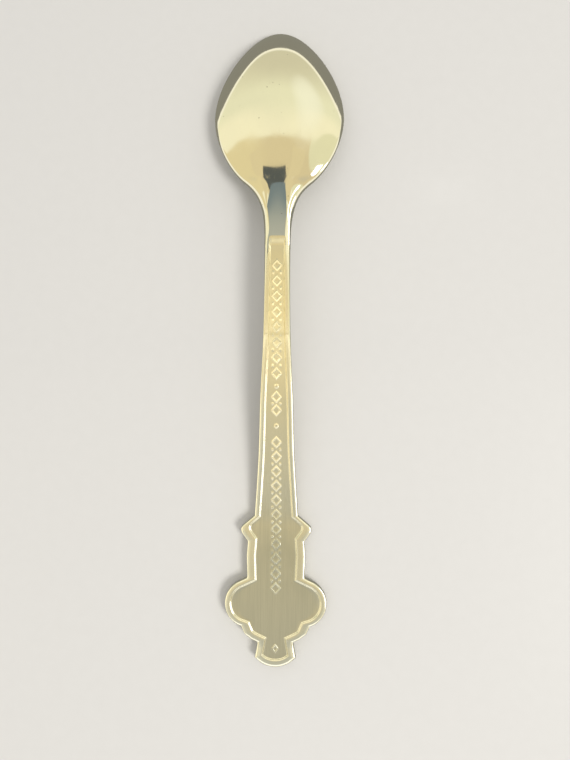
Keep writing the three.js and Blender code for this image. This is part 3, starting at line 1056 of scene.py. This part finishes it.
def paper():
    """The floor's pale matt paper."""
    item, graph, shader = material("pale_floor")
    grain = graph.noise((0.5, 0.5, 0.5), 3.0)
    graph.feed(shader.inputs["Base Color"],
               graph.mix(grain, rgba(0.60, 0.59, 0.57), rgba(0.62, 0.61, 0.59)))
    shader.inputs["Roughness"].default_value = 0.9
    return item


FLOOR = 3000
FLOOR_Z = -0.02
floor = stage_plane("floor", [(-FLOOR, -FLOOR, FLOOR_Z), (FLOOR, -FLOOR, FLOOR_Z),
                              (FLOOR, FLOOR, FLOOR_Z), (-FLOOR, FLOOR, FLOOR_Z)])
dress(floor, paper())
floor.visible_glossy = False


def card(name, colour, points, far_colour=None):
    """A glowing card that shows only as a reflection, shading into far_colour at its lowest Y."""
    item = stage_plane(name, points)
    paint = bpy.data.materials.new(name)
    paint.use_nodes = True
    graph = Graph(paint.node_tree)
    output = graph.node("ShaderNodeOutputMaterial")
    shown = rgba(*colour)
    if far_colour:
        reach = [y for _, y, _ in points]
        share = graph.step(graph.along_spoon(), min(reach), max(reach))
        shown = graph.mix(share, rgba(*far_colour), shown)
    glow = graph.node("ShaderNodeEmission", {"Color": shown, "Strength": 1.0})
    paint.node_tree.links.new(glow.outputs[0], output.inputs[0])
    dress(item, paint)
    item.visible_camera = False
    item.visible_diffuse = False
    item.visible_shadow = False


def level(height, *plan):
    """Corners at one height, from (x, y)."""
    return [(x, y, height) for x, y in plan]


def upright(x, *plan):
    """Corners in the plane across x, from (y, z)."""
    return [(x, y, z) for y, z in plan]


def facing(y, low, high):
    """Corners of a wide card across the spoon at y, between two heights."""
    return [(-WIDE, y, low), (WIDE, y, low), (WIDE, y, high), (-WIDE, y, high)]


# The first four cards lie level above the bowl: a dark one, a grey one nearer the spoon that
# covers its foot, and two tan ones that cover its sides. The rest stand upright, beside the bowl,
# behind the finial and over the stem.
DARK = (0.10, 0.11, 0.10)
BLUE_GREY = (0.185, 0.235, 0.245)
PALE_GREY = (0.45, 0.46, 0.39)
TAN = (0.74, 0.64, 0.375)
LAMP = (3.0, 3.0, 2.9)
CREAM_WALL = (1.35, 1.24, 0.86)
PALE_WALL = (1.35, 1.33, 1.18)
WARM_WALL = (1.3, 1.2, 0.85)
FAR_Z = 60
NEAR_Z = 20
LAMP_X = 30
WALL_X = 60
END_CARD_Y = -100
STEM_CARD_Y = -1
WIDE = 40
DARK_LEFT = [(-43, 38.8), (-47, 35.9), (-52, 31.9), (-62, 26)]
DARK_BASE = [(-48, 27), (-40, 32), (-30, 33), (26.5, 33)]
DARK_RIGHT = [(22.5, 34.8), (19.5, 36.8), (16.5, 38.8)]
NECK_TOP = [(8.5, 26.8), (7, 27.1), (-8.6, 27.05), (-11.4, 26.6), (-15.5, 25.7)]
LEFT_EDGE = [(-15.5, 25.7), (-13.5, 27.4), (-12.4, 28.9), (-11.4, 30)]
card("camera_card", DARK, level(FAR_Z, *DARK_LEFT, *DARK_BASE, *DARK_RIGHT))
card("neck_card", BLUE_GREY, level(NEAR_Z, (-15.5, 18.5), (8.5, 18.5), *NECK_TOP), PALE_GREY)
card("left_card", TAN, level(NEAR_Z, (-22, 26), *LEFT_EDGE, (-11.4, 34.5), (-22, 34.5)))
card("right_card", TAN, level(NEAR_Z, (8.5, 26), (18, 26), (18, 34.5), (8.5, 34.5)))
card("lamp_card", LAMP, upright(LAMP_X, (22.6, 17), (25, 19.5), (30.5, 18.5), (31, 15.2), (24, 15.2)))
card("edge_card", LAMP, upright(LAMP_X, (24, -0.01), (29, -0.01), (29, 6), (24, 6)))
card("window_card", LAMP, upright(WALL_X, (-64, 0), (-8, 0), (-8, 30), (-64, 30)))
card("wall_card", CREAM_WALL, upright(-WALL_X, (-70, 0), (-14, 0), (-14, 32), (-70, 32)))
card("end_card", PALE_WALL, facing(END_CARD_Y, 0, 40))
card("stem_card", WARM_WALL, facing(STEM_CARD_Y, 9, 40))


GLOW_DIRECTION = Vector((0.58, 0.56, 0.59)).normalized()


def studio_world():
    """A pale room: even light on the floor, and soft zones of colour that the metal reflects.

    Directions have +Y beyond the tip of the bowl, +X to the right and +Z overhead.
    """
    world = bpy.data.worlds.new("studio")
    bpy.context.scene.world = world
    world.use_nodes = True
    graph = Graph(world.node_tree)
    direction = graph.node("ShaderNodeTexCoord").outputs["Generated"]
    split = graph.node("ShaderNodeSeparateXYZ", {0: direction})
    x, y, z = (split.outputs[i] for i in range(3))

    # A tan room, paler on the far left, with an olive strip on the right and grey overhead behind.
    colour = graph.mix(graph.step(x, -0.3, -0.9), rgba(0.71, 0.61, 0.36), rgba(0.78, 0.68, 0.385))
    strip = graph.calc("MULTIPLY_ADD", y, 0.5, x)
    colour = graph.mix(graph.step(strip, 0.85, 0.87), colour, rgba(0.79, 0.77, 0.50))
    dusk = graph.calc("MULTIPLY", graph.step(y, -0.03, -0.32), graph.step(z, 0.3, 0.6))
    colour = graph.mix(dusk, colour, rgba(0.47, 0.47, 0.385))

    # The colours of the wall ahead, which darken with distance.
    wall = graph.mix(graph.step(y, 0.31, 0.48), rgba(0.95, 0.91, 0.64), rgba(0.84, 0.83, 0.58))
    wall = graph.mix(graph.step(y, 0.55, 0.95), wall, rgba(0.66, 0.63, 0.44))

    # Pale zones high up on both sides, and a pale zone low down behind.
    side = graph.calc("ABSOLUTE", x)
    flank = graph.calc("MULTIPLY", graph.step(side, 0.15, 0.45), graph.step(y, 0.08, -0.02))
    flank = graph.calc("MULTIPLY", flank, graph.step(z, 0.7, 0.8))
    colour = graph.mix(graph.scaled(flank, 0.7), colour, rgba(1.0, 0.97, 0.76))
    low = graph.calc("MULTIPLY", graph.step(z, 0.62, 0.25), graph.step(y, -0.32, -0.5))
    colour = graph.mix(graph.scaled(low, 0.85), colour, rgba(0.93, 0.88, 0.64))

    # The wall begins along a curve across the room, farther ahead at the far right.
    edge = graph.calc("MULTIPLY_ADD", graph.calc("MULTIPLY", x, x), 0.11, y)
    edge = graph.calc("ADD", edge, graph.scaled(graph.calc("MAXIMUM", x, 0.0), 0.03))
    edge = graph.calc("SUBTRACT", edge, graph.step(x, 0.78, 0.98, 0.0, 0.11))
    colour = graph.mix(graph.step(edge, 0.30, 0.315), colour, wall)

    # A soft glow on the wall, and a bright end behind the foot.
    glow = graph.node("ShaderNodeVectorMath", {0: direction, 1: GLOW_DIRECTION},
                      operation="DOT_PRODUCT").outputs["Value"]
    colour = graph.mix(graph.step(glow, 0.91, 1.0, 0.0, 0.45), colour, rgba(1.05, 1.06, 0.88))
    colour = graph.mix(graph.step(y, -0.62, -0.80), colour, rgba(1.1, 1.08, 0.95))

    # Under the horizon, a pale band all round, and dark ground ahead.
    depth = graph.calc("SUBTRACT", z, graph.step(side, 0.5, 0.0, 0.0, 0.06))
    colour = graph.mix(graph.step(depth, -0.03, -0.08), colour, rgba(1.0, 0.97, 0.78))
    depth = graph.calc("ADD", depth, graph.step(y, 0.35, 0.12, 0.0, 0.42))
    colour = graph.mix(graph.step(depth, -0.115, -0.14), colour, rgba(0.25, 0.245, 0.20))

    # Rough surfaces and the camera see a plain pale room instead.
    path = graph.node("ShaderNodeLightPath")
    colour = graph.mix(path.outputs["Is Glossy Ray"], rgba(0.80, 0.79, 0.77), colour)
    background = graph.node("ShaderNodeBackground", {"Color": colour, "Strength": 1.0})
    output = graph.node("ShaderNodeOutputWorld")
    world.node_tree.links.new(background.outputs[0], output.inputs[0])


studio_world()


def area_light(name, azimuth, elevation, distance, width, height, power, colour):
    """A soft box that faces the spoon from a direction in degrees, with its lengths in metres."""
    soft_box = bpy.data.lights.new(name, "AREA")
    soft_box.shape = "RECTANGLE"
    soft_box.size = width
    soft_box.size_y = height
    soft_box.energy = power
    soft_box.color = colour
    lamp = bpy.data.objects.new(name, soft_box)
    bpy.context.scene.collection.objects.link(lamp)
    a, e = math.radians(azimuth), math.radians(elevation)
    away = Vector((math.cos(e) * math.cos(a), math.cos(e) * math.sin(a), math.sin(e)))
    lamp.location = away * distance
    lamp.rotation_euler = away.to_track_quat("Z", "Y").to_euler()
    lamp.visible_glossy = False


area_light("window", azimuth=-36, elevation=52, distance=0.9, width=0.24, height=0.30,
           power=5.0, colour=(1.0, 0.98, 0.94))

# The camera is fitted to the spoon's outline in the photograph.
CAMERA_AT = Vector((5.03, -21.3, 122.0)) * MM
CAMERA_AIM = Vector((1.35, -8.37, 3.0)) * MM
CAMERA_ROLL = math.radians(0.42)
FOCAL_LENGTH = 33.16
SENSOR_WIDTH = 36
NEAREST = 0.001
FARTHEST = 20
lens = bpy.data.cameras.new("camera")
lens.lens = FOCAL_LENGTH
lens.sensor_width = SENSOR_WIDTH
lens.sensor_fit = "AUTO"
lens.clip_start = NEAREST
lens.clip_end = FARTHEST
camera = bpy.data.objects.new("camera", lens)
bpy.context.scene.collection.objects.link(camera)
camera.location = CAMERA_AT
look = (CAMERA_AIM - CAMERA_AT).normalized()
level_right = look.cross(Vector((0, 1, 0))).normalized()
level_up = level_right.cross(look)
right = level_right * math.cos(CAMERA_ROLL) + level_up * math.sin(CAMERA_ROLL)
upward = level_up * math.cos(CAMERA_ROLL) - level_right * math.sin(CAMERA_ROLL)
camera.rotation_euler = Matrix((right, upward, -look)).transposed().to_euler()
bpy.context.scene.camera = camera
bpy.context.scene.view_settings.view_transform = "Standard"
